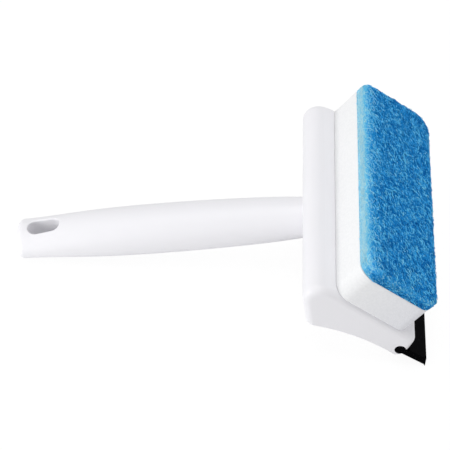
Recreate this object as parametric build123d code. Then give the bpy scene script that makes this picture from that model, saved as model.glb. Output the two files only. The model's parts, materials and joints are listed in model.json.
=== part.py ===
from build123d import *
import os
from math import asin, atan2, cos, degrees, hypot, pi, radians, sin, sqrt

# Window scrubber: a hollow handle on a moulded head, with a foam and scouring pad on the head's
# front and a rubber wiping strip in a groove along its free edge. Millimetres, +Z up.
#
# It is drawn along its handle: X runs along the handle towards the head, Y along the head, and
# the origin is the middle of the pad's back edge on the handle's side. Across the head, w is
# measured over the pad from that edge and n outwards from the pad's back. Last of all, everything
# is turned to lie as the tool lies on a table: on the rubber's tip and the handle's far end.

# Scouring pad
pad_length = 164.0
pad_width = 54.0
near_handle_corner = 9.5
near_blade_corner = 7.5
far_blade_corner = 13.0
far_handle_corner = 6.0
foam_thickness = 22.0
scour_thickness = 8.3
scour_edge_radius = 2.8
pad_gap = 0.3

# Head, outside
pad_angle = 45.0
head_width = 64.7
face_setback = 20.3
heel_drop = 23.1
shoulder_radius = 10.0
crown_radius = 30.0
crown_end_slope = 40.0
waist_depth = 21.4
lip_radius = 4.5
lip_lean = 12.0
lip_break = 12.0
end_radius = 5.0
lip_end_radius = 3.4
seat_end_radius = 2.0

# Head, inside
shell_wall = 2.4
end_wall = 2.6
rib_thickness = 2.0
rib_spacing = 60.0
flange_thickness = 2.4
flange_reach = 2.5
recess_depth = 5.0
recess_rim = 4.5
recess_end_rim = 5.0
recess_corner_radius = 3.0
boss_diameter = 7.0
boss_inset = 7.5
boss_end_inset = 11.0
pilot_depth = 9.5
plate_fit = 0.3

# Rubber strip and its groove
groove_inset = 4.5
groove_depth = 12.8
bulb_diameter = 6.4
neck_thickness = 3.6
rubber_clearance = 0.3
rubber_reach = 20.7
rubber_rise = 4.2
rubber_root_rise = 3.5
rubber_root_gap = 0.4
rubber_bevel_run = 3.6
rubber_tip_drop = 1.5
rubber_edge_drop = 0.8
rubber_edge_run = 1.6
jaw_skin = 1.8
jaw_reach = 2.8
groove_end_wall = 3.0

# Plate, hook tape and loop backing
plate_thickness = 2.4
hook_width = 14.0
hook_end_inset = 18.0
hook_thickness = 1.2
hook_spacing = 20.0
loop_margin = 1.5

# Plate screws
screw_diameter = 2.8
screw_head_diameter = 5.4
screw_head_height = 1.4
screw_length = 10.0
screw_point = 1.5
screw_tip_share = 0.3
screw_clearance = 0.05
screw_hole_clearance = 0.2
cross_width = 0.8
cross_length = 3.2
cross_depth = 0.9

# Handle, outside
handle_length = 178.8
handle_drop = 14.6
neck_radius = 12.5
grip_half_width = 15.6
grip_half_height = 15.3
end_half_width = 14.3
end_half_height = 9.9
handle_end_radius = 4.6

# The handle's sections from the neck to the grip, then from the grip to the far end. Each has its
# place along the handle, and how far its width and height have gone from the first size to the next
neck_to_grip_shares = ((0.0, 0.0, 0.0), (0.11, 0.47, 0.52), (0.28, 0.80, 0.90), (0.47, 1.0, 1.0))
grip_to_end_shares = ((0.65, 0.0, 0.13), (0.78, 0.30, 0.44), (0.89, 0.58, 0.87), (1.0, 1.0, 1.0))

# Hanging slot
slot_length = 20.5
slot_outer_radius = 5.6
slot_inner_radius = 5.0
slot_end_distance = 17.4
slot_wall = 2.4
slot_edge_radius = 0.8

# Handle, inside, with the head's spigot and the screw that holds them together
handle_wall = 2.6
handle_end_wall = 4.9
spigot_diameter = 19.0
spigot_length = 26.0
spigot_wall = 2.8
spigot_end_wall = 3.0
spigot_chamfer = 1.0
spigot_clearance = 0.1
socket_floor_gap = 0.5
web_thickness = 3.0
handle_boss_diameter = 10.0
handle_boss_length = 14.0
handle_pilot_depth = 12.0
handle_screw_diameter = 4.0
handle_screw_length = 16.0
handle_screw_head_diameter = 8.0
handle_screw_head_height = 2.6

# How far a cut runs past the face it starts from
overrun = 1.0

# Places that several pieces share
angle = radians(pad_angle)
head_length = pad_length
half_head = head_length / 2
handle_face = -face_setback
handle_end = handle_face - handle_length
slot_middle = handle_end + slot_end_distance
spigot_end = handle_face - spigot_length
socket_floor = spigot_end - socket_floor_gap
web_end = socket_floor - web_thickness
groove_across = head_width - groove_inset
groove_radius = bulb_diameter / 2 + rubber_clearance
mouth_half = neck_thickness / 2 + rubber_clearance
upper_jaw = (head_width, mouth_half - groove_depth)
bay_top = -recess_depth - flange_thickness
plate_top = -recess_depth + plate_thickness
hook_top = plate_top + hook_thickness
foam_top = pad_gap + foam_thickness
recess_width = pad_width - 2 * recess_rim
recess_length = head_length - 2 * recess_end_rim
hook_length = recess_length - 2 * hook_end_inset
screw_places = [
    (w, y)
    for w in (recess_rim + boss_inset, pad_width - recess_rim - boss_inset)
    for y in (-recess_length / 2 + boss_end_inset, recess_length / 2 - boss_end_inset)
]


def to_xz(w, n):
    """X and Z of the point at w over the pad and n outwards from its back."""
    return (w * cos(angle) + n * sin(angle), n * cos(angle) - w * sin(angle))


def to_wn(x, z):
    """The same, the other way round."""
    return (x * cos(angle) - z * sin(angle), x * sin(angle) + z * cos(angle))


def section_plane(y):
    """The cross-section's plane at y. Its own axes are w and n, and it looks along -Y."""
    return Plane(origin=(0, y, 0), x_dir=(cos(angle), 0, -sin(angle)), z_dir=(0, -1, 0))


def pad_plane(n, w=pad_width / 2, y=0.0):
    """The plane parallel to the pad at height n, with its origin at w and y."""
    x, z = to_xz(w, n)
    return Plane(origin=(x, y, z), x_dir=(cos(angle), 0, -sin(angle)), z_dir=(sin(angle), 0, cos(angle)))


def prism(face, y_low, y_high):
    """A section drawn in w and n, carried along the head from y_low to y_high."""
    return extrude(section_plane(y_high) * face, amount=y_high - y_low)


def slab(width, length, n_low, n_high, radius=0.0, w=pad_width / 2):
    """A plate parallel to the pad, centred on w, with rounded corners where radius isn't zero."""
    outline = RectangleRounded(width, length, radius) if radius > 0 else Rectangle(width, length)
    return extrude(pad_plane(n_low, w) * outline, amount=n_high - n_low)


def post(w, y, radius, n_low, n_high):
    """A round post or hole that stands square to the pad at w and y."""
    return extrude(pad_plane(n_low, w, y) * Circle(radius), amount=n_high - n_low)


def rod(radius, x_low, x_high):
    """A round bar or bore on the handle's axis."""
    plane = Plane(origin=(x_low, 0, -handle_drop), x_dir=(0, 1, 0), z_dir=(1, 0, 0))
    return extrude(plane * Circle(radius), amount=x_high - x_low)


def shoulder_arcs():
    """The shoulder's two arcs: a close one up from the handle's face, then the wide crown, which runs
    on from it without a break and comes down to the pad's edge."""
    slope = radians(crown_end_slope)
    crown_x = -crown_radius * sin(slope)
    crown_z = -crown_radius * cos(slope)
    close_x = handle_face + shoulder_radius
    run = close_x - crown_x
    rise = sqrt((crown_radius - shoulder_radius) ** 2 - run**2)
    meeting = pi - atan2(rise, run)
    arcs = []
    for x, z, radius, start, stop in (
        (close_x, crown_z + rise, shoulder_radius, 0.0, meeting),
        (crown_x, crown_z, crown_radius, meeting, pi / 2 + slope),
    ):
        turns = (start, (start + stop) / 2, stop)
        arcs.append([to_wn(x - radius * cos(turn), z + radius * sin(turn)) for turn in turns])
    return arcs


def on_lip(turn):
    """A point of the lip's arc, which leaves the seat at a slight break and meets the leaning flank."""
    drop = -lip_radius * cos(radians(lip_break))
    rise = upper_jaw[1] - drop
    lean = radians(lip_lean)
    middle = head_width - (lip_radius - rise * sin(lean)) / cos(lean)
    return (middle + lip_radius * sin(turn), drop + lip_radius * cos(turn))


def head_section():
    """The head across w and n: flat seat, rounded lip, two jaws, hollowed back, face and shoulder."""
    close_arc, crown_arc = shoulder_arcs()
    lip_start = radians(lip_break)
    lip_end = radians(90.0 - lip_lean)
    lower_jaw = (groove_across + jaw_reach, -mouth_half - groove_depth)
    under_end = (groove_across, -groove_radius - jaw_skin - groove_depth)
    waist = (pad_width / 2, -waist_depth)
    heel = to_wn(handle_face, -heel_drop)
    outline = [
        Line((0, 0), on_lip(lip_start)),
        ThreePointArc(on_lip(lip_start), on_lip((lip_start + lip_end) / 2), on_lip(lip_end)),
        Line(on_lip(lip_end), upper_jaw),
        Line(upper_jaw, lower_jaw),
        Line(lower_jaw, under_end),
        ThreePointArc(under_end, waist, heel),
        Line(heel, close_arc[0]),
        ThreePointArc(*close_arc),
        ThreePointArc(*crown_arc),
    ]
    return make_face(outline)


def round_ends(block, w, n, radius):
    """Round both ends of the head over along the edge that passes through w and n."""
    x, z = to_xz(w, n)
    places = [Vertex(x, y, z) for y in (-half_head, half_head)]
    edges = [min(block.edges(), key=lambda edge: edge.distance_to(place)) for place in places]
    return fillet(edges, radius)


def seat_end_cuts():
    """What comes off both ends of the seat's edge, so that it is rounded over under the pad."""
    x, z = to_xz(-overrun, 0)
    plane = Plane(origin=(x, 0, z), x_dir=(0, 1, 0), z_dir=(cos(angle), 0, -sin(angle)))
    side = seat_end_radius + overrun
    cuts = Sketch()
    for end in (-1, 1):
        corner = Pos(end * (half_head - seat_end_radius + side / 2), side / 2 - seat_end_radius)
        round_part = Pos(end * (half_head - seat_end_radius), -seat_end_radius) * Circle(seat_end_radius)
        cuts += corner * Rectangle(side, side) - round_part
    return extrude(plane * cuts, amount=head_width + 2 * overrun)


def head_block():
    """The head's outside, with its ends rounded over along the handle's side, the lip and the seat."""
    block = prism(head_section(), -half_head, half_head)
    block = round_ends(block, *to_wn(handle_face, -handle_drop), end_radius)
    return round_ends(block, *on_lip(radians(45.0)), lip_end_radius) - seat_end_cuts()


def head_cavity():
    """The hollow of the head: three bays between two ribs, the flange's opening and the recess."""
    bay_limit = groove_across - groove_radius - shell_wall
    reach = head_width + heel_drop + face_setback
    window = Pos(bay_limit - reach / 2, bay_top - reach / 2) * Rectangle(reach, reach)
    bay_face = offset(head_section(), amount=-shell_wall) & window
    end = half_head - end_wall
    rib_near = (rib_spacing - rib_thickness) / 2
    rib_far = (rib_spacing + rib_thickness) / 2
    opening_width = recess_width - 2 * flange_reach
    opening_length = recess_length - 2 * flange_reach
    cavity = slab(recess_width, recess_length, -recess_depth, overrun, recess_corner_radius)
    cavity += slab(opening_width, opening_length, bay_top, -recess_depth)
    for y_low, y_high in ((-end, -rib_far), (-rib_near, rib_near), (rib_far, end)):
        cavity += prism(bay_face, y_low, y_high)
    return cavity


def groove():
    """The rubber's groove, open at the near end: a round bore for the bulb, a mouth for the neck."""
    mouth_length = head_width - groove_across + overrun
    mouth = Pos(mouth_length / 2, 0) * Rectangle(mouth_length, 2 * mouth_half)
    section = Pos(groove_across, -groove_depth) * (Circle(groove_radius) + mouth)
    return prism(section, -half_head - overrun, half_head - groove_end_wall)


def head_shell():
    """The moulded head, with its screw bosses, a round seat for the handle's neck, and the hollow
    spigot that carries the handle."""
    block = head_block()
    shell = block - head_cavity()
    for w, y in screw_places:
        shell += post(w, y, boss_diameter / 2, -head_width, -recess_depth) & block
    for w, y in screw_places:
        shell -= post(w, y, screw_diameter / 2 + screw_clearance, -recess_depth - pilot_depth, 0)
    spigot = rod(spigot_diameter / 2, spigot_end, handle_face + shell_wall / 2)
    spigot = chamfer(spigot.edges().sort_by(Axis.X)[0], spigot_chamfer)
    shell += spigot
    shell += rod(neck_radius, handle_face, handle_face + shell_wall)
    bore_start = spigot_end + spigot_end_wall
    shell -= rod(spigot_diameter / 2 - spigot_wall, bore_start, handle_face + shell_wall + overrun)
    shell -= rod(handle_screw_diameter / 2 + screw_hole_clearance, spigot_end - overrun, bore_start)
    return shell - groove()


def handle_sections(inset):
    """Ellipses across the handle, from the neck out to the far end, drawn in by the inset."""
    faces = []
    neck = (neck_radius, neck_radius)
    grip = (grip_half_width, grip_half_height)
    end = (end_half_width, end_half_height)
    for shares, start, stop in ((neck_to_grip_shares, neck, grip), (grip_to_end_shares, grip, end)):
        for place, wider, taller in shares:
            middle = (handle_face - place * handle_length, 0, -handle_drop)
            plane = Plane(origin=middle, x_dir=(0, 1, 0), z_dir=(-1, 0, 0))
            half_width = start[0] + wider * (stop[0] - start[0]) - inset
            half_height = start[1] + taller * (stop[1] - start[1]) - inset
            faces.append(plane * Ellipse(half_width, half_height))
    return faces


def slot_prism(margin):
    """The hanging slot, wider at its outer end and widened all round by the margin, cut right through."""
    outer_middle = slot_middle - slot_length / 2 + slot_outer_radius
    inner_middle = slot_middle + slot_length / 2 - slot_inner_radius
    outer = Pos(outer_middle, 0) * Circle(slot_outer_radius + margin)
    inner = Pos(inner_middle, 0) * Circle(slot_inner_radius + margin)
    outline = make_hull((outer + inner).edges())
    plane = Plane(origin=(0, 0, -handle_drop - grip_half_height))
    return extrude(plane * outline, amount=2 * grip_half_height)


def handle_grip():
    """The hollow handle: its skin, the web and boss behind the neck, and the wall round the slot."""
    body = loft(handle_sections(0))
    body = fillet(body.edges().sort_by(Axis.X)[0], handle_end_radius)
    hollow = loft(handle_sections(handle_wall))
    hollow &= rod(2 * grip_half_width, handle_end + handle_end_wall, web_end)
    hollow -= slot_prism(slot_wall)
    hollow -= rod(handle_boss_diameter / 2, web_end - handle_boss_length, web_end)
    grip = body - slot_prism(0)
    reach = slot_length / 2 + slot_edge_radius
    curved = [edge for edge in grip.edges() if edge.geom_type != GeomType.LINE]
    rims = [edge for edge in curved if abs(edge.center().X - slot_middle) < reach]
    grip = fillet(rims, slot_edge_radius) - hollow
    grip -= rod(spigot_diameter / 2 + spigot_clearance, socket_floor, handle_face + overrun)
    grip -= rod(handle_screw_diameter / 2 + screw_clearance, web_end - handle_pilot_depth, socket_floor)
    return grip


def cross_recess(height):
    """The cross in a screw's head, cut down from the height."""
    recess = Box(cross_length, cross_width, 2 * cross_depth) + Box(cross_width, cross_length, 2 * cross_depth)
    return Pos(0, 0, height) * recess


def countersunk_screw():
    """A plate screw, with the top of its head at the origin and its point down -Z."""
    throat = Pos(0, 0, -screw_head_height) * Circle(screw_diameter / 2)
    point_start = Pos(0, 0, screw_point - screw_length) * Circle(screw_diameter / 2)
    point_end = Pos(0, 0, -screw_length) * Circle(screw_tip_share * screw_diameter)
    cone = loft([Circle(screw_head_diameter / 2), throat])
    shank = extrude(throat, amount=screw_head_height + screw_point - screw_length)
    return cone + shank + loft([point_start, point_end]) - cross_recess(0)


def plate_screws():
    """The four screws that hold the plate to the head's bosses."""
    return [pad_plane(plate_top, w, y).location * countersunk_screw() for w, y in screw_places]


def pad_plate():
    """The flat plate that closes the head's front, with countersunk holes."""
    plate = slab(
        recess_width - 2 * plate_fit,
        recess_length - 2 * plate_fit,
        -recess_depth,
        plate_top,
        recess_corner_radius - plate_fit,
    )
    hole_radius = screw_diameter / 2 + screw_hole_clearance
    sink_radius = screw_head_diameter / 2 + screw_hole_clearance
    for w, y in screw_places:
        plate -= post(w, y, hole_radius, -recess_depth - overrun, plate_top)
        rim = pad_plane(plate_top, w, y) * Circle(sink_radius)
        throat = pad_plane(plate_top - screw_head_height, w, y) * Circle(hole_radius)
        plate -= loft([rim, throat])
    return plate


def handle_screw():
    """The screw through the spigot's end wall into the handle's boss, driven from inside the head."""
    seat = spigot_end + spigot_end_wall
    screw = rod(handle_screw_head_diameter / 2, seat, seat + handle_screw_head_height)
    screw = fillet(screw.edges().sort_by(Axis.X)[-1], handle_screw_head_height / 2)
    screw += rod(handle_screw_diameter / 2, seat - handle_screw_length, seat)
    turned = Location((seat + handle_screw_head_height, 0, -handle_drop), (0, 90, 0))
    return screw - turned * cross_recess(0)


def hook_strip(side):
    """One strip of hook tape on the plate, on the handle's side (-1) or the rubber's side (1)."""
    return slab(hook_width, hook_length, plate_top, hook_top, w=pad_width / 2 + side * hook_spacing / 2)


def loop_backing():
    """The loop sheet on the foam's back, which lies in the head's recess over the hook strips."""
    width = recess_width - 2 * loop_margin
    length = recess_length - 2 * loop_margin
    return slab(width, length, hook_top + pad_gap, pad_gap, recess_corner_radius)


def pad_layer(n_low, n_high):
    """A layer of the pad, cut square through its thickness, each corner with its own rounding."""
    corners = Sketch()
    for side, end, radius in (
        (-1, -1, near_handle_corner),
        (1, -1, near_blade_corner),
        (1, 1, far_blade_corner),
        (-1, 1, far_handle_corner),
    ):
        corners += Pos(side * (pad_width / 2 - radius), end * (pad_length / 2 - radius)) * Circle(radius)
    return extrude(pad_plane(n_low) * make_hull(corners.edges()), amount=n_high - n_low)


def foam_block():
    """The foam layer, which lies over the head's front."""
    return pad_layer(pad_gap, foam_top)


def scour_pad():
    """The scouring layer on the foam, its working edges softened."""
    pad = pad_layer(foam_top, foam_top + scour_thickness)
    working_face = pad.faces().sort_by(Axis((0, 0, 0), (sin(angle), 0, cos(angle))))[-1]
    return fillet(working_face.edges(), scour_edge_radius)


def squeegee_rubber():
    """The rubber strip: a bulb and neck in the groove, and a thick lip bevelled to a wiping edge."""
    root = head_width - groove_across + rubber_root_gap
    tip = (rubber_reach, -rubber_tip_drop)
    outline = Polyline(
        (0, neck_thickness / 2),
        (root, neck_thickness / 2),
        (root, rubber_root_rise),
        (rubber_reach - rubber_bevel_run, rubber_rise),
        tip,
        (rubber_reach - rubber_edge_run, -rubber_edge_drop),
        (jaw_reach, -neck_thickness / 2),
        (0, -neck_thickness / 2),
        close=True,
    )
    section = Pos(groove_across, -groove_depth) * (Circle(bulb_diameter / 2) + make_face(outline))
    return prism(section, -half_head, half_head - groove_end_wall - rubber_clearance)


def resting_tilt():
    """The turn about Y that puts the rubber's tip and the rounded end of the handle on one level."""
    tip_x, tip_z = to_xz(groove_across + rubber_reach, -groove_depth - rubber_tip_drop)
    run = tip_x - (handle_end + handle_end_radius)
    rise = handle_end_radius - end_half_height - handle_drop - tip_z
    return degrees(atan2(rise, run) - asin(handle_end_radius / hypot(run, rise)))


def main():
    """Build every piece, lay the tool down with its origin under its middle, and write the files."""
    nodes = {
        "handle_grip": [handle_grip()],
        "head_shell": [head_shell()],
        "pad_plate": [pad_plate()],
        "plate_screws": plate_screws(),
        "handle_screw": [handle_screw()],
        "hook_strip_handle_side": [hook_strip(-1)],
        "hook_strip_blade_side": [hook_strip(1)],
        "loop_backing": [loop_backing()],
        "foam_block": [foam_block()],
        "scour_pad": [scour_pad()],
        "squeegee_rubber": [squeegee_rubber()],
    }
    turn = Rot(0, -resting_tilt(), 0)
    turned = {}
    for name, pieces in nodes.items():
        turned[name] = [turn * solid for piece in pieces for solid in piece.solids()]
    box = Compound([solid for solids in turned.values() for solid in solids]).bounding_box()
    shift = Pos(-box.center().X, -box.center().Y, -box.min.Z)
    os.makedirs("parts", exist_ok=True)
    for name, solids in turned.items():
        placed = [shift * solid for solid in solids]
        shape = placed[0] if len(placed) == 1 else Compound(placed)
        export_step(shape, os.path.join("parts", name + ".step"))
    print("tilt", resting_tilt(), "shift", shift.position)


if __name__ == "__main__":
    main()
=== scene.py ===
import json
from math import radians

import bpy
import numpy as np
from mathutils import Matrix, Vector


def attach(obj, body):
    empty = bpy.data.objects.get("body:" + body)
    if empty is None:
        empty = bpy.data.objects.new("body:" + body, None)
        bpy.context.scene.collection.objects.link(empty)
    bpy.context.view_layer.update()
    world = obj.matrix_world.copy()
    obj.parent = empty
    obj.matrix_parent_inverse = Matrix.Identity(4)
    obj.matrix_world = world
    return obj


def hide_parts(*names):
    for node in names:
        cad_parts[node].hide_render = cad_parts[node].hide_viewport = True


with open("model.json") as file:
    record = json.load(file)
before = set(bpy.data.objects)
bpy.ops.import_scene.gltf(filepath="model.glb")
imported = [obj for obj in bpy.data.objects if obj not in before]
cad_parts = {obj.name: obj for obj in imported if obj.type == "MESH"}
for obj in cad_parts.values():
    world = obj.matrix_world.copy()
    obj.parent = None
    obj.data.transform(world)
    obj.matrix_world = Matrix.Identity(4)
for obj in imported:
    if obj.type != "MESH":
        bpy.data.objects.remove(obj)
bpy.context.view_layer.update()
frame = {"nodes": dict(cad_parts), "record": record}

# The window scrubber's looks, in metres, in the frame of its construction: X along the handle
# towards the head, Y along the head, Z up, lying on the floor at zero.

# Pad: the corners of its outline, on the handle's side and the blade's side, each at the near and
# the far end. The blue layer is rounder than the foam at its near corner on the handle's side
pad_corners = ((0.0095, 0.006), (0.0075, 0.013))
scour_corners = ((0.0110, 0.006), (0.0075, 0.013))

# Foam: cells cut open by the knife, the slow unevenness of a cut face, how far its foot comes down to
# the head, and how high the foot keeps its outline whole
foam_step = 0.0008
foam_cell_size = 0.0011
foam_cell_depth = 0.00016
foam_cell_share = 0.55
foam_wave_size = 0.014
foam_wave_depth = 0.00022
foam_drop = 0.00028
foam_foot = 0.0012

# Blue layer's mat: its rounded rim, how far it lies under the fibres, how high its flared foot
# reaches, and its lumps, large and small
mat_step = 0.0009
scour_edge_radius = 0.0040
mat_sink = 0.0007
mat_foot = 0.0020
lump_size = 0.0035
lump_depth = 0.00045
small_lump_size = lump_size / 2.3
small_lump_share = 0.6

# Fibres: how many there are and how finely each is made, how thick and long, how they lie along the
# face, curl, sway and dip, how deep they end, and how many of them stand loose
fibre_pieces = 8
fibres_per_piece = 5600
fibre_rings = 6
fibre_sides = 3
fibre_radius = 0.00016
fibre_radius_shares = (0.75, 1.4)
fibre_length = 0.0044
fibre_length_shares = (0.6, 1.5)
fibre_flatness = 0.6
fibre_lay = 0.55
lay_swirl = 0.6
lay_swirl_size = 0.03
lay_spread = 0.5
fibre_slope = 0.3
fibre_curl = 0.5
fibre_sway = 0.5
fibre_low = -0.0012
fibre_high = -0.0001
fibre_dip = 0.0003
fibre_end_depth = -0.0003
loose_share = 0.04
loose_rise = 0.0005
tube_end_share = 0.45

# Dye, from 0, deep blue, to 1, pale cyan, with painted light and shade in it: how pale fibres are on
# the face, paler as a painted highlight at its rim, on its near side, paler as painted light by the
# edge on the lit handle's side, at the foam and as painted light on the lit handle's side itself, and
# how much darker as painted shade those that dip are
pale_share = 0.38
deep_tones = (0.0, 0.3)
pale_tones = (0.36, 0.78)
face_palest = 0.8
rim_painted_highlight = 0.64
near_pale = 0.08
edge_painted_light = 0.34
edge_painted_light_reach = 0.011
base_pale = 0.4
base_reach = 0.0010
lit_side_painted_tones = (0.80, 1.12)
lit_side_painted_blend = 2.4
depth_painted_shade = 0.3
depth_painted_shade_reach = 0.0009
dye_tones = (0.0, 0.35, 0.7, 1.0)
dye_colors = ((0.001, 0.119, 0.415), (0.018, 0.345, 0.86), (0.16, 0.68, 1.0), (0.58, 0.90, 1.0))

# Loop sheet on the foam's back
loop_step = 0.001
loop_corner = 0.003
loop_edge = 0.0003
loop_fuzz_size = 0.0016
loop_depth = 0.00025

# Hook tape: its woven ground, and the hooks that stand on it, straight in the stem and bent above
tape_step = 0.002
tape_corner = 0.0005
tape_edge = 0.0001
hook_pitch = 0.0019
hook_radius = 0.00013
hook_base_share = 0.35
hook_stem_share = 0.4
hook_turn = radians(150)
hook_rings = 7
hook_sides = 4

# Moulded plastic: tones from dark to light, gloss, and the scale, in cells to a metre, and height of
# its sink marks and its grain
plastic_tones = ((0.85, 0.845, 0.875), (0.865, 0.86, 0.89))
plastic_roughness = 0.42
plate_tones = ((0.74, 0.74, 0.76), (0.78, 0.78, 0.80))
plate_roughness = 0.5
plastic_specular = 0.45
sink_scale = 22
sink_height = 0.00025
grain_scale = 2600
grain_height = 0.000018
gloss_scale = 90
gloss_span = (-0.05, 0.06)

# Foam's finish: tones from the lips of its wide cells to their floors, the floors darker as painted
# shade, and painted shade, bluish as a painted reflection of the blue layer, from the handle's side to
# the blade's side, then the scale and height of its cells
foam_tones_and_painted_cell_shade = ((0.90, 0.905, 0.91), (0.86, 0.867, 0.875))
foam_painted_cell_shade_span = (0.05, 0.75)
foam_painted_shade_tones = ((1.0, 1.0, 1.0), (0.90, 0.90, 0.94))
foam_painted_shade_span = (0.02, 0.075)
foam_roughness = 0.95
foam_specular = 0.2
fine_cell_scale = 1500.0
wide_cell_scale = 620.0
cell_height = -0.00006

# Blue layer's finish: the mat between the fibres, pale as painted light where it faces the lit handle's
# side, and the fibres' gloss
mat_tones = ((0.001, 0.065, 0.24), (0.009, 0.172, 0.48))
mat_tone_span = (0.35, 0.68)
mat_painted_light_tone = (0.34, 0.74, 1.0)
mat_roughness = 0.9
clump_scale = 520
clump_height = 0.0006
fibre_specular = 0.04
fibre_gloss = (0.38, 0.6)
scuff_scale = 3000

# Rubber: fine lines along it, and dust
rubber_color = (0.001, 0.001, 0.0014)
rubber_specular = 0.012
rubber_gloss = (0.34, 0.52)
line_stretch = (1.0, 0.02, 1.0)
line_scale = 2600.0
line_height = 0.00003
dust_scale = 300
dust_height = 0.00002

# Screw steel
steel_color = (0.62, 0.63, 0.65)
steel_gloss = (0.25, 0.5)
mottle_scale = 900
mottle_height = 0.00003

# Woven ground of the tape and the loop sheet
tape_color = (0.78, 0.78, 0.76)
loop_color = (0.80, 0.80, 0.79)
woven_roughness = 0.8
woven_specular = 0.3
thread_scale = 260.0
thread_waver = 1.5
thread_shade = 0.86
thread_span = (0.1, 0.8)
thread_height = 0.0001
fuzz_scale = 1800
fuzz_height = 0.00015

# Camera, as fitted to the photograph: where it stands, its way back and its right, and its lens
camera_place = (-0.02239, -1.09572, 1.11692)
camera_back = (-0.01514, -0.70985, 0.70419)
camera_right = (0.99870, 0.02358, 0.04524)
camera_lens = 200.0
camera_sensor = 36.0
camera_reach = 20.0

# Light: an even sky, and four soft lights, each with its power, its size and where it hangs
sky_strength = 0.58
lights = {
    "top": (6.7, 1.0, (0.0, 0.0, 1.5)),
    "left": (5.6, 0.8, (-1.35, -0.5, 0.12)),
    "near": (1.6, 0.4, (-0.6, -0.4, 0.08)),
    "right": (1.0, 0.8, (1.1, 0.2, 1.1)),
}

# Floor: its size, how far under the object it lies, its tone, and the share and strength of its glow
floor_size = 8.0
floor_drop = 0.0001
floor_tone = 0.95
floor_roughness = 0.9
floor_lit_tone = 0.9
floor_glow = 0.88
floor_white = 1.05

# Noise: a seed for each thing that uses it, and large numbers that scatter its cells
foam_cell_seed = 5
foam_wave_seed = 6
lump_seed = 11
small_lump_seed = 12
loop_seed = 21
lay_seed = 31
fibre_seed = 100
axis_scatter = (73856093, 19349663, 83492791)
seed_scatter = 2654435761
fold_scatter = 1274126177

# A length that counts as none, and a colour mix's two inputs and its output among its sockets
tiny = 1e-9
mix_first = 6
mix_second = 7
mix_out = 2


def noise_at(points, size, seed):
    """Smooth noise from -1 to 1: random values at the corners of a lattice of cells of the given
    size, blended across each cell with the curve 3t^2 - 2t^3 along each axis."""
    cell = points / size
    low = np.floor(cell).astype(np.int64)
    t = cell - low
    t = t * t * (3 - 2 * t)
    total = np.zeros(len(points))
    for corner in range(8):
        step = np.array([corner & 1, corner >> 1 & 1, corner >> 2 & 1])
        share = np.prod(np.where(step == 1, t, 1 - t), axis=1)
        total += share * hashed(low + step, seed)
    return 2 * total - 1


def hashed(cells, seed):
    """A repeatable random number from 0 to 1 for each whole-number cell."""
    x, y, z = (cells * axis_scatter).T
    h = x ^ y ^ z ^ seed * seed_scatter
    h = (h ^ h >> 13) * fold_scatter & 0x7FFFFFFF
    return ((h ^ h >> 16) & 0xFFFFFF) / 0xFFFFFF


def cell_distance(points, size, seed):
    """Distance to the nearest of the points scattered one to a cell, as a share of the cell size."""
    cell = points / size
    low = np.floor(cell).astype(np.int64)
    nearest = np.full(len(points), np.inf)
    for i in (-1, 0, 1):
        for j in (-1, 0, 1):
            for k in (-1, 0, 1):
                at = low + np.array([i, j, k])
                seedling = np.stack([hashed(at, seed + axis) for axis in range(3)], 1)
                nearest = np.minimum(nearest, np.linalg.norm(at + seedling - cell, axis=1))
    return nearest


def unit(ways):
    """The same ways, each at length one."""
    return ways / np.maximum(np.linalg.norm(ways, axis=-1, keepdims=True), tiny)


def box_faces(counts):
    """The grid points on the six faces of a box divided into the given counts along its three axes,
    as whole numbers, each point once, and the squares between them with their faces outwards."""
    squares = []
    for axis in range(3):
        a, b = (axis + 1) % 3, (axis + 2) % 3
        i, j = [g.ravel() for g in np.meshgrid(range(counts[a]), range(counts[b]), indexing="ij")]
        for end in (0, counts[axis]):
            square = np.zeros((len(i), 4, 3), np.int64)
            square[:, :, axis] = end
            turn = ((0, 0), (1, 0), (1, 1), (0, 1)) if end else ((0, 0), (0, 1), (1, 1), (1, 0))
            for k, (di, dj) in enumerate(turn):
                square[:, k, a] = i + di
                square[:, k, b] = j + dj
            squares.append(square)
    squares = np.concatenate(squares)
    points, index = np.unique(squares.reshape(-1, 3), axis=0, return_inverse=True)
    return points, index.reshape(-1, 4)


def corners_at(flat, corners):
    """The rounding of the outline's corner that is nearest to each point."""
    return np.array(corners)[(flat[:, 0] > 0).astype(int), (flat[:, 1] > 0).astype(int)]


def rounded_slab(sizes, step, corners, low_edge, high_edge):
    """A slab's closed surface in its own width, length and height, standing on zero. Each point of
    the box's surface is pulled in to the rounded outline: inner point plus radius times the way out.
    The same is done again in height, with one radius at the low edge and one at the high edge."""
    counts = [max(2, int(round(s / step))) for s in sizes]
    grid, faces = box_faces(counts)
    half = np.array(sizes[:2]) / 2
    flat = grid[:, :2] / counts[:2] * 2 * half - half
    height = grid[:, 2] / counts[2] * sizes[2]
    edge = np.where(height > sizes[2] / 2, high_edge, low_edge)
    corner = corners_at(flat, corners)[:, None]
    inner = np.clip(flat, corner - half, half - corner)
    out = flat - inner
    way = unit(out)
    chess = np.abs(out).max(axis=1)
    depth = corner[:, 0] - chess
    flat = inner + way * chess[:, None]
    top = height > sizes[2] / 2
    rise = np.where(top, sizes[2] - height, height)
    sideways = np.clip(edge - depth, 0, None)
    upward = np.clip(edge - rise, 0, None)
    turned = np.hypot(sideways, upward)
    most = np.maximum(sideways, upward)
    pull = np.where(turned > 0, most / np.maximum(turned, tiny), 1)
    flat -= way * (sideways * (1 - pull))[:, None]
    height = height + np.where(top, -1, 1) * upward * (1 - pull)
    return np.column_stack([flat, height]), faces


def point_normals(points, faces):
    """Unit normals at the points: the crosses of each square's diagonals, summed round a point."""
    first, second, third, fourth = points[faces.T]
    cross = np.cross(third - first, fourth - second)
    total = np.zeros_like(points)
    for corner in range(4):
        np.add.at(total, faces[:, corner], cross)
    return unit(total)


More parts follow.
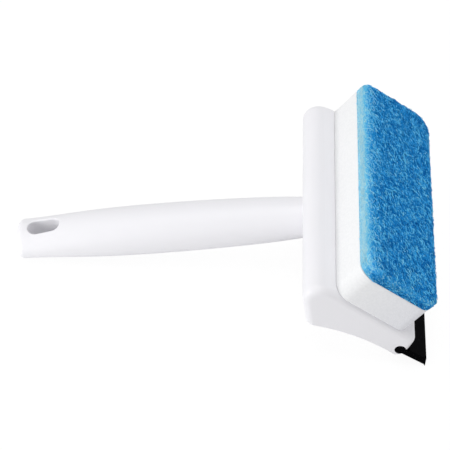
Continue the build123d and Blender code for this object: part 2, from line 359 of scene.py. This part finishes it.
def new_piece(name, points, faces, body):
    """A mesh piece that rides on a body."""
    mesh = bpy.data.meshes.new(name)
    mesh.from_pydata(points.tolist(), [], [list(face) for face in faces])
    mesh.polygons.foreach_set("use_smooth", [True] * len(mesh.polygons))
    mesh.update()
    piece = bpy.data.objects.new(name, mesh)
    bpy.context.scene.collection.objects.link(piece)
    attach(piece, body)
    return piece


def node_material(name, color, roughness, **sockets):
    """A material with a Principled shader, its constants on their own sockets."""
    material = bpy.data.materials.new(name)
    material.use_nodes = True
    shader = material.node_tree.nodes["Principled BSDF"]
    shader.inputs["Base Color"].default_value = (*color, 1)
    shader.inputs["Roughness"].default_value = roughness
    for socket, value in sockets.items():
        shader.inputs[socket.replace("_", " ")].default_value = value
    return material, shader


def add_node(material, kind, **settings):
    """A node in the material, with its own settings or its sockets' values."""
    node = material.node_tree.nodes.new(kind)
    for key, value in settings.items():
        if hasattr(node, key):
            setattr(node, key, value)
        else:
            node.inputs[key.replace("_", " ")].default_value = value
    return node


def joined(material, start, out_socket, end, in_socket):
    """Join an output of one node to an input of another."""
    material.node_tree.links.new(start.outputs[out_socket], end.inputs[in_socket])


def object_places(material):
    """Object coordinates, which are the part's own frame in metres."""
    return add_node(material, "ShaderNodeTexCoord")


def noise_on(material, places, scale, detail, roughness=0.5):
    """Noise on the object's coordinates, with so many cells to a metre."""
    noise = add_node(material, "ShaderNodeTexNoise", Scale=scale, Detail=detail, Roughness=roughness)
    joined(material, places, "Object", noise, "Vector")
    return noise


def spread(material, source, out_socket, low, high, start=0.3, stop=0.7):
    """A value or colour that goes from low to high as the source goes from start to stop."""
    ramp = add_node(material, "ShaderNodeValToRGB")
    ends = ramp.color_ramp.elements
    for element, position, value in ((ends[0], start, low), (ends[1], stop, high)):
        element.position = position
        element.color = (*value, 1) if isinstance(value, tuple) else (value, value, value, 1)
    joined(material, source, out_socket, ramp, "Fac")
    return ramp


def bumped(material, shader, source, out_socket, height, below=None):
    """Raise the surface by a source's value times the height, over another bump if there is one."""
    bump = add_node(material, "ShaderNodeBump", Strength=1.0, Distance=height)
    joined(material, source, out_socket, bump, "Height")
    if below:
        joined(material, below, "Normal", bump, "Normal")
    joined(material, bump, "Normal", shader, "Normal")
    return bump


def moulded_plastic(name, tones, roughness):
    """Satin moulded plastic: a fine spark-eroded grain, slow sink marks and slightly uneven gloss."""
    material, shader = node_material(name, tones[1], roughness, Specular_IOR_Level=plastic_specular)
    places = object_places(material)
    slow = noise_on(material, places, sink_scale, 2)
    fine = noise_on(material, places, grain_scale, 3)
    gloss = noise_on(material, places, gloss_scale, 4)
    tone = spread(material, slow, "Fac", *tones)
    joined(material, tone, "Color", shader, "Base Color")
    rough = spread(material, gloss, "Fac", roughness + gloss_span[0], roughness + gloss_span[1])
    joined(material, rough, "Color", shader, "Roughness")
    sunk = bumped(material, shader, slow, "Fac", sink_height)
    bumped(material, shader, fine, "Fac", grain_height, sunk)
    return material


def cut_foam(name):
    """White open-cell foam: cells of two sizes cut open, each with a painted shade on its floor, and a
    painted shade, bluish as a painted reflection of the blue layer, that darkens slowly across the pad
    towards the blade's side."""
    material, shader = node_material(
        name, foam_tones_and_painted_cell_shade[1], foam_roughness, Specular_IOR_Level=foam_specular
    )
    places = object_places(material)
    cells = add_node(material, "ShaderNodeTexVoronoi", Scale=fine_cell_scale)
    joined(material, places, "Object", cells, "Vector")
    wide = add_node(material, "ShaderNodeTexVoronoi", Scale=wide_cell_scale)
    joined(material, places, "Object", wide, "Vector")
    # Painted shade: the foam is darker where the bump makes its wide cells lowest
    tone = spread(material, wide, "Distance", *foam_tones_and_painted_cell_shade, *foam_painted_cell_shade_span)
    # Painted shade with a painted bluish reflection: the foam darkens towards the blade's side
    across = add_node(material, "ShaderNodeVectorMath", operation="DOT_PRODUCT")
    across.inputs[1].default_value = pad_frame()[0][0]
    joined(material, places, "Object", across, 0)
    painted_shade = spread(material, across, "Value", *foam_painted_shade_tones, *foam_painted_shade_span)
    product = add_node(material, "ShaderNodeMix", data_type="RGBA", blend_type="MULTIPLY")
    product.inputs["Factor"].default_value = 1.0
    joined(material, tone, "Color", product, mix_first)
    joined(material, painted_shade, "Color", product, mix_second)
    joined(material, product, mix_out, shader, "Base Color")
    coarse = bumped(material, shader, wide, "Distance", cell_height)
    bumped(material, shader, cells, "Distance", cell_height, coarse)
    return material


def blue_mat(name):
    """The non-woven layer's inside: deep blue between its fibres, with lighter crossings, and pale as
    painted light where the mesh says that it faces the lit handle's side."""
    material, shader = node_material(name, mat_tones[1], mat_roughness, Specular_IOR_Level=0.0)
    places = object_places(material)
    clumps = noise_on(material, places, clump_scale, 5, 0.7)
    deep = spread(material, clumps, "Fac", *mat_tones, *mat_tone_span)
    # Painted light: the mat is paler where it faces the lit handle's side
    painted_lit_side = add_node(material, "ShaderNodeAttribute", attribute_name="painted_lit_side")
    tone = add_node(material, "ShaderNodeMix", data_type="RGBA", blend_type="MIX")
    tone.inputs[mix_second].default_value = (*mat_painted_light_tone, 1)
    joined(material, painted_lit_side, "Fac", tone, 0)
    joined(material, deep, "Color", tone, mix_first)
    joined(material, tone, mix_out, shader, "Base Color")
    bumped(material, shader, clumps, "Fac", clump_height)
    return material


def blue_fibre(name):
    """A dyed fibre: its colour is kept on the mesh, from deep blue to pale cyan: its own dye, with
    painted light and painted shade mixed in.
    """
    material, shader = node_material(
        name, dye_colors[1], fibre_gloss[1], Specular_IOR_Level=fibre_specular
    )
    own = add_node(material, "ShaderNodeAttribute", attribute_name="dye_and_painted_light")
    joined(material, own, "Color", shader, "Base Color")
    places = object_places(material)
    scuff = noise_on(material, places, scuff_scale, 2)
    rough = spread(material, scuff, "Fac", *fibre_gloss)
    joined(material, rough, "Color", shader, "Roughness")
    return material


def wiping_rubber(name):
    """Black rubber: a close matt skin with fine lines along its length from the die."""
    material, shader = node_material(
        name, rubber_color, rubber_gloss[1], Specular_IOR_Level=rubber_specular
    )
    places = object_places(material)
    along = add_node(material, "ShaderNodeMapping")
    along.inputs["Scale"].default_value = line_stretch
    joined(material, places, "Object", along, "Vector")
    lines = add_node(material, "ShaderNodeTexNoise", Scale=line_scale, Detail=2.0)
    joined(material, along, "Vector", lines, "Vector")
    dust = noise_on(material, places, dust_scale, 5)
    rough = spread(material, dust, "Fac", *rubber_gloss)
    joined(material, rough, "Color", shader, "Roughness")
    skin = bumped(material, shader, lines, "Fac", line_height)
    bumped(material, shader, dust, "Fac", dust_height, skin)
    return material


def plated_steel(name):
    """Zinc-plated screw steel, slightly mottled."""
    material, shader = node_material(name, steel_color, steel_gloss[1], Metallic=1.0)
    places = object_places(material)
    mottle = noise_on(material, places, mottle_scale, 4)
    rough = spread(material, mottle, "Fac", *steel_gloss)
    joined(material, rough, "Color", shader, "Roughness")
    bumped(material, shader, mottle, "Fac", mottle_height)
    return material


def woven_tape(name, color):
    """The woven ground of the tape and the loop sheet: wavering rows of threads, with fuzz."""
    material, shader = node_material(
        name, color, woven_roughness, Specular_IOR_Level=woven_specular
    )
    places = object_places(material)
    warp = add_node(
        material,
        "ShaderNodeTexWave",
        bands_direction="Y",
        Scale=thread_scale,
        Distortion=thread_waver,
    )
    joined(material, places, "Object", warp, "Vector")
    shade = tuple(thread_shade * c for c in color)
    tone = spread(material, warp, "Fac", shade, color, *thread_span)
    joined(material, tone, "Color", shader, "Base Color")
    fuzz = noise_on(material, places, fuzz_scale, 4)
    ground = bumped(material, shader, warp, "Fac", thread_height)
    bumped(material, shader, fuzz, "Fac", fuzz_height, ground)
    return material


def pad_frame():
    """The pad's ways across, along and out, and the middle of its working face, from the record."""
    face = next(m for m in frame["record"]["mounts"] if m["name"] == "scrub_face")
    out = np.array(face["axis"])
    along = np.array([0.0, 1.0, 0.0])
    return np.stack([np.cross(along, out), along, out]), np.array(face["pos_m"])


def slab_place(node, ways):
    """A slab node's width, length and height, and the middle of its low face, from its points along
    the pad's own ways."""
    points = np.array([v.co for v in frame["nodes"][node].data.vertices]) @ ways.T
    low, high = points.min(0), points.max(0)
    middle = (low + high) / 2
    return high - low, np.array([middle[0], middle[1], low[2]]) @ ways


def placed(points, ways, base):
    """Points in the pad's own width, length and height, carried to the part's frame."""
    return points @ ways + base


def foam_piece(ways):
    """The foam: a slab pitted where each cut cell is, and pushed in by a slow wave, so that its faces
    are not quite flat. Its foot keeps its full outline, so that no dark gap opens under it."""
    sizes, base = slab_place("foam_block", ways)
    sizes = sizes + [0, 0, foam_drop]
    base = base - foam_drop * ways[2]
    points, faces = rounded_slab(sizes, foam_step, pad_corners, 0.0, 0.0)
    out = point_normals(points, faces)
    to_cell = cell_distance(points, foam_cell_size, foam_cell_seed)
    pits = np.clip(foam_cell_share - to_cell, 0, None) / foam_cell_share
    wave = noise_at(points, foam_wave_size, foam_wave_seed)
    depth = foam_cell_depth * pits + foam_wave_depth * (0.5 + 0.5 * wave)
    depth *= np.clip(points[:, 2] / foam_foot, 0, 1)
    points = points - out * depth[:, None]
    piece = new_piece("foam_cut_block", placed(points, ways, base), faces, "pad")
    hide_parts("foam_block")
    return piece


def scour_mat(ways):
    """The blue layer's mat: its slab sunk a little below the fibres, with lumps of noise, and flared
    at its foot to meet the foam. Kept on the mesh is how far a face looks to the handle's lit side,
    where the mat is painted pale as painted light."""
    sizes, base = slab_place("scour_pad", ways)
    sunk = np.array([2 * mat_sink, 2 * mat_sink, mat_sink])
    corners = np.array(scour_corners) - mat_sink
    points, faces = rounded_slab(sizes - sunk, mat_step, corners, 0.0, scour_edge_radius)
    out = point_normals(points, faces)
    lumps = noise_at(points, lump_size, lump_seed)
    lumps += small_lump_share * noise_at(points, small_lump_size, small_lump_seed)
    free = np.clip(points[:, 2] / mat_sink, 0, 1)
    points = points + out * (lump_depth * lumps * free)[:, None]
    flare = mat_sink * np.clip(1 - points[:, 2] / mat_foot, 0, 1)
    points[:, :2] += unit(out[:, :2]) * (flare * (points[:, 2] < mat_foot))[:, None]
    piece = new_piece("scour_mat", placed(points, ways, base), faces, "pad")
    # Painted light: faces turned to the lit handle's side are marked to be painted pale
    painted_lit_side = piece.data.attributes.new("painted_lit_side", "FLOAT", "POINT")
    painted_lit_side.data.foreach_set("value", np.clip(-out[:, 0], 0, 1).astype(np.float32))
    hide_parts("scour_pad")
    return piece


def skin_distance(points, sizes):
    """Distance of points outside the rounded slab's skin, negative inside, and the way out there:
    the distance of a box whose corners are rounded in plan and whose high edge is rounded too."""
    half = sizes[:2] / 2
    radius = corners_at(points, scour_corners)
    across = np.abs(points[:, :2]) - half + radius[:, None]
    corner = np.linalg.norm(np.clip(across, 0, None), axis=1)
    side = corner + np.minimum(across.max(axis=1), 0) - radius
    plan = unit(np.clip(across, 0, None)) * np.sign(points[:, :2])
    inside = corner < tiny
    nearer = across.argmax(axis=1)
    plan[inside] = 0
    plan[inside, nearer[inside]] = np.sign(points[inside, :2])[np.arange(inside.sum()), nearer[inside]]
    above = points[:, 2] - sizes[2]
    a = np.clip(side + scour_edge_radius, 0, None)
    b = np.clip(above + scour_edge_radius, 0, None)
    reach = np.hypot(a, b)
    gap = reach + np.minimum(np.maximum(side, above) + scour_edge_radius, 0) - scour_edge_radius
    deep = reach < tiny
    a = np.where(deep, side > above, a / np.maximum(reach, tiny))
    b = np.where(deep, side <= above, b / np.maximum(reach, tiny))
    return gap, np.column_stack([plan * a[:, None], b])


def fibre_starts(random, count, sizes):
    """Places on the pad's working face and sides, as many to each as their areas ask."""
    width, length, height = sizes
    round_sides = 2 * (width + length) * height
    on_side = random.random(count) < round_sides / (round_sides + width * length)
    flat = (random.random((count, 2)) - 0.5) * [width, length]
    along = random.random(count) * (width + length) * 2
    edge = np.where(along < 2 * width, along % width - width / 2, 0)
    ends = np.where(along < 2 * width, 0, (along - 2 * width) % length - length / 2)
    on_width = along < 2 * width
    side_x = np.where(on_width, edge, np.where(along < 2 * width + length, -width / 2, width / 2))
    side_y = np.where(on_width, np.where(along < width, -length / 2, length / 2), ends)
    start_x = np.where(on_side, side_x, flat[:, 0])
    start_y = np.where(on_side, side_y, flat[:, 1])
    start_z = np.where(on_side, random.random(count) * height, height)
    return np.column_stack([start_x, start_y, start_z])


def fibre_paths(random, count, sizes):
    """Curled fibres as rings of points: each walks from its start in equal steps, its heading
    turning at a steady rate plus a slow sine, and every point is then moved along the way out of
    the pad until it lies at its own depth, which rises and dips once along the fibre. Gives the
    paths, the ways out along them, and the depths."""
    at = fibre_starts(random, count, sizes)
    gap, out = skin_distance(at, sizes)
    at = at - out * gap[:, None]
    lay = fibre_lay + lay_swirl * noise_at(at, lay_swirl_size, lay_seed)
    lay += random.normal(0, lay_spread, count)
    heading = np.column_stack([np.sin(lay), -np.cos(lay), random.normal(0, fibre_slope, count)])
    length = fibre_length * random.uniform(*fibre_length_shares, count)
    turn = random.normal(0, fibre_curl, count)
    sway = random.uniform(0, 2 * np.pi, (count, 2))
    level = random.uniform(fibre_low, fibre_high, count)
    level += loose_rise * (random.random(count) < loose_share)
    rings = []
    for ring in range(fibre_rings):
        share = ring / (fibre_rings - 1)
        gap, out = skin_distance(at, sizes)
        heading -= out * np.sum(heading * out, axis=1)[:, None]
        heading = unit(heading)
        angle = (turn + fibre_sway * np.sin(2 * np.pi * share + sway[:, 0])) / (fibre_rings - 1)
        side = np.cross(out, heading)
        heading = heading * np.cos(angle)[:, None] + side * np.sin(angle)[:, None]
        depth = level + fibre_dip * np.sin(2 * np.pi * share + sway[:, 1])
        if share in (0, 1):
            depth = np.minimum(depth, fibre_end_depth)
        rings.append((at + out * (depth - gap)[:, None], out, depth))
        at = at + heading * (length / (fibre_rings - 1))[:, None]
    return [np.stack(parts, 1) for parts in zip(*rings)]


def tubes(paths, ups, radii, sides):
    """A closed tube round each path: a ring of points about every path point, at even angles, its
    middle rings at full radius and its two end rings drawn in, with a face over each end."""
    count, rings, _ = paths.shape
    way = unit(np.gradient(paths, axis=1))
    side = unit(np.cross(way, ups))
    up = np.cross(side, way)
    turn = 2 * np.pi * np.arange(sides) / sides
    draw = np.ones(rings)
    draw[[0, -1]] = tube_end_share
    radius = radii[:, None] * draw
    ring = np.cos(turn)[:, None] * side[:, :, None, :] + np.sin(turn)[:, None] * up[:, :, None, :]
    points = paths[:, :, None, :] + radius[:, :, None, None] * ring
    index = np.arange(count * rings * sides).reshape(count, rings, sides)
    after = np.roll(index, -1, axis=2)
    walls = np.stack([index[:, :-1], index[:, 1:], after[:, 1:], after[:, :-1]], -1).reshape(-1, 4)
    return points.reshape(-1, 3), walls.tolist() + index[:, 0].tolist() + index[:, -1, ::-1].tolist()


def fibre_tones(random, paths, ups, depths, sizes):
    """How pale each point of each fibre is, from 0 to 1. Most fibres are deep and some are pale; all
    are paler as painted light on the lit handle's side and next to it, paler as a painted highlight
    along the rim, paler at the foam, and darker as painted shade where they dip."""
    count = len(paths)
    pale = random.random(count) < pale_share
    own = np.where(pale, random.uniform(*pale_tones, count), random.uniform(*deep_tones, count))
    up = np.clip(ups[:, :, 2], 0, 1)
    # Painted highlight: fibres are paler where the rim turns, as where it would catch the light
    tone = own[:, None] + rim_painted_highlight * up * (1 - up)
    tone += near_pale * np.clip(-ups[:, :, 1], 0, 1)
    # Painted light: the face is paler towards the lit handle's side
    tone += edge_painted_light * np.clip(1 - (paths[:, :, 0] + sizes[0] / 2) / edge_painted_light_reach, 0, 1) * up**2
    tone += base_pale * np.clip(1 - paths[:, :, 2] / base_reach, 0, 1)
    # Painted shade: fibres are darker where they dip deep among the others
    tone = np.clip(tone - depth_painted_shade * np.clip(-depths / depth_painted_shade_reach, 0, 1), 0, face_palest)
    # Painted light: fibres on the side facing the handle, where the light falls, are blended to pale
    # tones
    side = np.clip(-ups[:, :, 0], 0, 1) ** lit_side_painted_blend
    painted_lit_side = np.interp(own, (0, 1), lit_side_painted_tones)[:, None]
    return np.clip(tone + side * (painted_lit_side - tone), 0, 1)


def fibre_piece(number, ways):
    """One share of the pad's fibres, with their dye and painted light and shade kept on the mesh as a
    colour. Their normals are the tubes' own blended with the way out of the pad, as on fibres pressed
    flat."""
    random = np.random.default_rng(fibre_seed + number)
    sizes, base = slab_place("scour_pad", ways)
    paths, ups, depths = fibre_paths(random, fibres_per_piece, sizes)
    paths[:, :, 2] = np.maximum(paths[:, :, 2], fibre_radius)
    radii = fibre_radius * random.uniform(*fibre_radius_shares, fibres_per_piece)
    points, faces = tubes(paths, ups, radii, fibre_sides)
    name = "scour_fibres_%d" % (number + 1)
    piece = new_piece(name, placed(points, ways, base), faces, "pad")
    tones = np.repeat(fibre_tones(random, paths, ups, depths, sizes).ravel(), fibre_sides)
    channels = [np.interp(tones, dye_tones, channel) for channel in zip(*dye_colors)]
    # The colour kept on the mesh is the fibres' dye with painted light and painted shade in it
    dye_and_painted_light = piece.data.attributes.new("dye_and_painted_light", "FLOAT_COLOR", "POINT")
    colors = np.stack([*channels, np.ones(len(tones))], 1)
    dye_and_painted_light.data.foreach_set("color", colors.ravel().astype(np.float32))
    round_ways = points.reshape(*paths.shape[:2], fibre_sides, 3) - paths[:, :, None]
    round_ways /= radii[:, None, None, None]
    facing = (1 - fibre_flatness) * round_ways + fibre_flatness * ups[:, :, None]
    piece.data.normals_split_custom_set_from_vertices(unit(facing.reshape(-1, 3) @ ways).tolist())
    return piece


def loop_sheet(ways):
    """The loop sheet on the foam's back: a thin slab with a fuzzy, uneven face."""
    sizes, base = slab_place("loop_backing", ways)
    corners = np.full((2, 2), loop_corner)
    points, faces = rounded_slab(sizes, loop_step, corners, loop_edge, loop_edge)
    out = point_normals(points, faces)
    fuzz = 0.5 + 0.5 * noise_at(points, loop_fuzz_size, loop_seed)
    points = points - out * (loop_depth * fuzz)[:, None]
    piece = new_piece("loop_sheet", placed(points, ways, base), faces, "pad")
    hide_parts("loop_backing")
    return piece


def tape_hooks(node, ways):
    """A strip of tape with its hooks: rows of stems, straight at first and then bent over in an arc,
    leaning along the strip by turns one way and the other."""
    sizes, base = slab_place(node, ways)
    counts = [int(s / hook_pitch) for s in sizes[:2]]
    i, j = [g.ravel() for g in np.meshgrid(*[np.arange(c) for c in counts], indexing="ij")]
    x = (i - (counts[0] - 1) / 2) * hook_pitch
    y = (j - (counts[1] - 1) / 2) * hook_pitch
    lean = np.where(i % 2, 1, -1)
    top = sizes[2] - hook_radius
    ground = hook_base_share * sizes[2]
    bend = (top - ground) / 2
    paths = []
    for share in np.linspace(0, 1, hook_rings):
        over = max(share - hook_stem_share, 0) / (1 - hook_stem_share) * hook_turn
        stem = min(share / hook_stem_share, 1) * (top - ground - bend)
        rise = ground + stem + bend * np.sin(over)
        ahead = bend * (1 - np.cos(over))
        paths.append(np.column_stack([x, y + lean * ahead, np.full(len(x), rise)]))
    paths = np.stack(paths, 1)
    ups = np.zeros_like(paths)
    ups[:, :, 0] = 1
    points, faces = tubes(paths, ups, np.full(len(x), hook_radius), hook_sides)
    ground_sizes = np.array([sizes[0], sizes[1], ground])
    corners = np.full((2, 2), tape_corner)
    ground_points, ground_faces = rounded_slab(ground_sizes, tape_step, corners, 0.0, tape_edge)
    faces = [[k + len(ground_points) for k in face] for face in faces]
    points = np.concatenate([ground_points, points])
    faces = ground_faces.tolist() + faces
    piece = new_piece(node + "_hooks", placed(points, ways, base), faces, "scrubber")
    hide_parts(node)
    return piece


def paint(piece, material):
    """Give a piece one material for all its faces."""
    piece.data.materials.clear()
    piece.data.materials.append(material)


def camera():
    """The camera at the photograph's place, turned by its own right and back."""
    data = bpy.data.cameras.new("camera")
    data.lens = camera_lens
    data.sensor_width = camera_sensor
    data.clip_end = camera_reach
    back = Vector(camera_back).normalized()
    right = Vector(camera_right)
    right = (right - back * right.dot(back)).normalized()
    turned = Matrix((right, back.cross(right), back)).transposed().to_4x4()
    eye = bpy.data.objects.new("camera", data)
    eye.matrix_world = Matrix.Translation(camera_place) @ turned
    bpy.context.scene.collection.objects.link(eye)
    bpy.context.scene.camera = eye


def soft_light(name, power, size, place):
    """A square studio light that looks at the object."""
    data = bpy.data.lights.new(name, "AREA")
    data.energy = power
    data.size = size
    light = bpy.data.objects.new(name, data)
    light.location = place
    light.rotation_euler = (-Vector(place)).to_track_quat("-Z", "Y").to_euler()
    bpy.context.scene.collection.objects.link(light)


def white_world():
    """Even white light, and plain white where the camera, a gloss or a glass looks past the object."""
    world = bpy.data.worlds.new("studio")
    bpy.context.scene.world = world
    world.use_nodes = True
    tree = world.node_tree
    sky = tree.nodes["Background"]
    sky.inputs["Color"].default_value = (1, 1, 1, 1)
    sky.inputs["Strength"].default_value = sky_strength
    shown = tree.nodes.new("ShaderNodeBackground")
    shown.inputs["Strength"].default_value = 1.0
    shown.inputs["Color"].default_value = (1, 1, 1, 1)
    rays = tree.nodes.new("ShaderNodeLightPath")
    either = rays.outputs["Is Camera Ray"]
    for kind in ("Is Glossy Ray", "Is Transmission Ray"):
        added = tree.nodes.new("ShaderNodeMath")
        added.operation = "MAXIMUM"
        tree.links.new(either, added.inputs[0])
        tree.links.new(rays.outputs[kind], added.inputs[1])
        either = added.outputs[0]
    mix = tree.nodes.new("ShaderNodeMixShader")
    tree.links.new(either, mix.inputs[0])
    tree.links.new(sky.outputs[0], mix.inputs[1])
    tree.links.new(shown.outputs[0], mix.inputs[2])
    tree.links.new(mix.outputs[0], tree.nodes["World Output"].inputs["Surface"])


def pale_floor():
    """A white floor that keeps a light shadow: for the camera, part of its white is its own glow."""
    half = floor_size / 2
    corners = np.array([[-half, -half, 0], [half, -half, 0], [half, half, 0], [-half, half, 0]])
    mesh = bpy.data.meshes.new("floor")
    mesh.from_pydata(corners.tolist(), [], [[0, 1, 2, 3]])
    floor = bpy.data.objects.new("floor", mesh)
    floor.location.z = -floor_drop
    bpy.context.scene.collection.objects.link(floor)
    material, shader = node_material(
        "floor_white", (floor_tone,) * 3, floor_roughness, Specular_IOR_Level=0.0
    )
    glow = add_node(material, "ShaderNodeEmission", Strength=floor_white)
    lit = add_node(material, "ShaderNodeBsdfDiffuse", Color=(*(floor_lit_tone,) * 3, 1))
    both = add_node(material, "ShaderNodeMixShader", Fac=floor_glow)
    joined(material, lit, "BSDF", both, 1)
    joined(material, glow, "Emission", both, 2)
    rays = add_node(material, "ShaderNodeLightPath")
    seen = add_node(material, "ShaderNodeMixShader")
    joined(material, rays, "Is Camera Ray", seen, 0)
    joined(material, shader, "BSDF", seen, 1)
    joined(material, both, "Shader", seen, 2)
    joined(material, seen, "Shader", material.node_tree.nodes["Material Output"], "Surface")
    mesh.materials.append(material)


def dress():
    """Build the soft pieces round the frame and give every piece its finish."""
    ways, _ = pad_frame()
    nodes = frame["nodes"]
    plastic = moulded_plastic("white_plastic", plastic_tones, plastic_roughness)
    inner_plastic = moulded_plastic("plate_plastic", plate_tones, plate_roughness)
    steel = plated_steel("zinc_steel")
    for node in ("handle_grip", "head_shell"):
        paint(nodes[node], plastic)
    paint(nodes["pad_plate"], inner_plastic)
    for node in ("plate_screws", "handle_screw"):
        paint(nodes[node], steel)
    paint(nodes["squeegee_rubber"], wiping_rubber("black_rubber"))
    tape = woven_tape("hook_tape", tape_color)
    for node in ("hook_strip_handle_side", "hook_strip_blade_side"):
        paint(nodes[node], tape)
        paint(tape_hooks(node, ways), tape)
    loops = woven_tape("loop_sheet", loop_color)
    foam = cut_foam("white_foam")
    mat = blue_mat("blue_mat")
    paint(nodes["loop_backing"], loops)
    paint(nodes["foam_block"], foam)
    paint(nodes["scour_pad"], mat)
    paint(loop_sheet(ways), loops)
    paint(foam_piece(ways), foam)
    paint(scour_mat(ways), mat)
    fibre = blue_fibre("blue_fibre")
    for number in range(fibre_pieces):
        paint(fibre_piece(number, ways), fibre)


dress()
camera()
white_world()
for light_name, light in lights.items():
    soft_light(light_name, *light)
pale_floor()
bpy.context.scene.view_settings.view_transform = "Standard"
